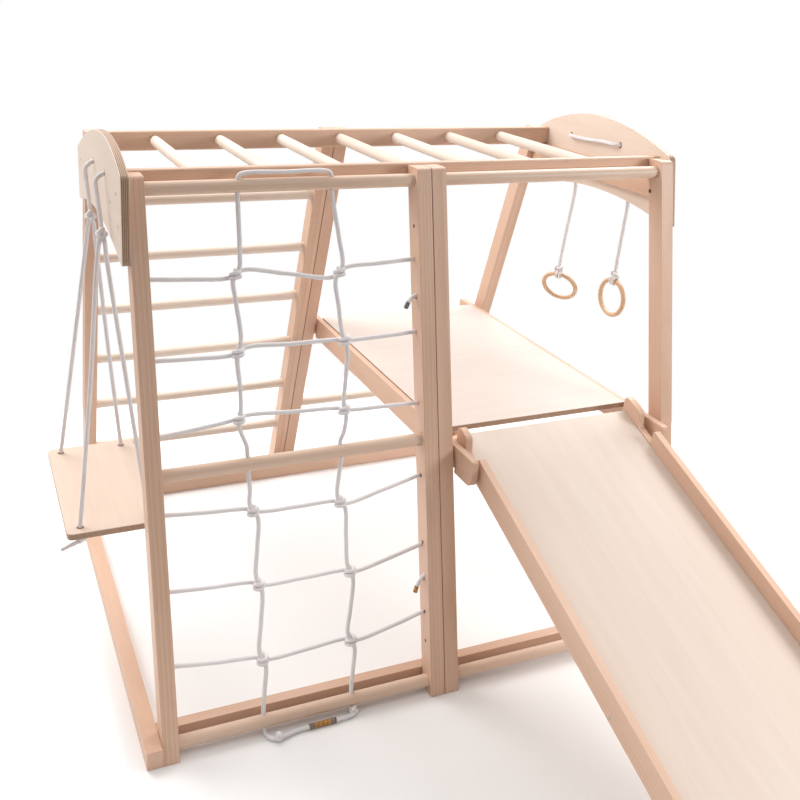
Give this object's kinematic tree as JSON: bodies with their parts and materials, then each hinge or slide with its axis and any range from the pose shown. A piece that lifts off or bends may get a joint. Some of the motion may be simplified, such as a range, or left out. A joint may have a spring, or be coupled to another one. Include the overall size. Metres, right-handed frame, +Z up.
{
  "type": "climbing frame with slide",
  "caption": "Indoor wooden toddler climber: slide, raised platform, rope net, rear ladder, monkey bars, swing and hanging rings on a leaning post frame.",
  "frame": {"origin": "middle of the floor area that the whole object covers", "axes": "+Z up, -Y is the way the slide points, +X runs from the net and swing end to the ring end"},
  "size_m": [1.5986, 2.624, 1.304],
  "materials": {
    "frame_wood": "smooth natural solid wood, clear matt varnish",
    "rod_wood": "turned natural wood dowel, clear matt varnish",
    "plywood": "pale birch plywood with visible edge layers, satin",
    "ring_wood": "turned wooden ring, satin",
    "rope": "white braided cord"
  },
  "bodies": {
    "frame": {"net_post_left": "frame_wood", "net_post_right": "frame_wood", "net_bar_top": "rod_wood", "net_bar_middle": "rod_wood", "net_bar_bottom": "rod_wood", "slide_post_left": "frame_wood", "slide_post_right": "frame_wood", "slide_bar_top": "rod_wood", "slide_bar_hook": "rod_wood", "slide_bar_bottom": "rod_wood", "ladder_leg_left": "frame_wood", "ladder_leg_right": "frame_wood", "ladder_rung_1": "rod_wood", "ladder_rung_2": "rod_wood", "ladder_rung_3": "rod_wood", "ladder_rung_4": "rod_wood", "ladder_rung_5": "rod_wood", "ladder_rung_6": "rod_wood", "rear_leg_left": "frame_wood", "rear_leg_right": "frame_wood", "rear_bar_low": "rod_wood", "rear_bar_platform": "rod_wood", "end_plate_left": "plywood", "end_plate_right": "plywood", "end_board_right": "frame_wood", "monkey_rail_front": "frame_wood", "monkey_rail_rear": "frame_wood", "monkey_rung_1": "rod_wood", "monkey_rung_2": "rod_wood", "monkey_rung_3": "rod_wood", "monkey_rung_4": "rod_wood", "monkey_rung_5": "rod_wood", "monkey_rung_6": "rod_wood", "monkey_rung_7": "rod_wood", "base_rail_left": "frame_wood", "base_rail_right": "frame_wood", "base_rail_front": "frame_wood", "base_rail_rear": "frame_wood", "swing_rope_hanger": "rope", "ring_rope_top": "rope", "net_rope_upright": "rope", "net_rope_row_1": "rope", "net_rope_row_2": "rope", "net_rope_row_3": "rope", "net_rope_row_4": "rope", "net_rope_row_5": "rope", "net_rope_row_6": "rope"},
    "slide": {"slide_rail_left": "frame_wood", "slide_rail_right": "frame_wood", "slide_bed": "plywood"},
    "platform": {"platform_rail_left": "frame_wood", "platform_rail_right": "frame_wood", "platform_deck": "plywood"},
    "swing": {"swing_seat": "plywood", "swing_rope_rear": "rope", "swing_rope_front": "rope"},
    "ring_rear": {"ring_rear": "ring_wood", "ring_rope_rear": "rope"},
    "ring_front": {"ring_front": "ring_wood", "ring_rope_front": "rope"}
  },
  "joints": [
    {"name": "slide_tilt", "type": "hinge", "parent": "frame", "child": "slide", "pos_m": [0.36969, 0.16423, 0.549], "axis": [-1, 0, 0], "range_deg": [0, 20]},
    {"name": "platform_lift", "type": "slide", "parent": "frame", "child": "platform", "axis": [0, 0, 1], "range_m": [0, 0.08]},
    {"name": "swing_pivot", "type": "hinge", "parent": "frame", "child": "swing", "pos_m": [-0.68531, 0.482, 1.106], "axis": [0, 1, 0], "range_deg": [-10, 40]},
    {"name": "ring_rear_pivot", "type": "hinge", "parent": "frame", "child": "ring_rear", "pos_m": [0.75669, 0.734, 1.094], "axis": [1, 0, 0], "range_deg": [-12, 28]},
    {"name": "ring_front_pivot", "type": "hinge", "parent": "frame", "child": "ring_front", "pos_m": [0.75669, 0.487, 1.094], "axis": [1, 0, 0], "range_deg": [-40, 12]}
  ]
}
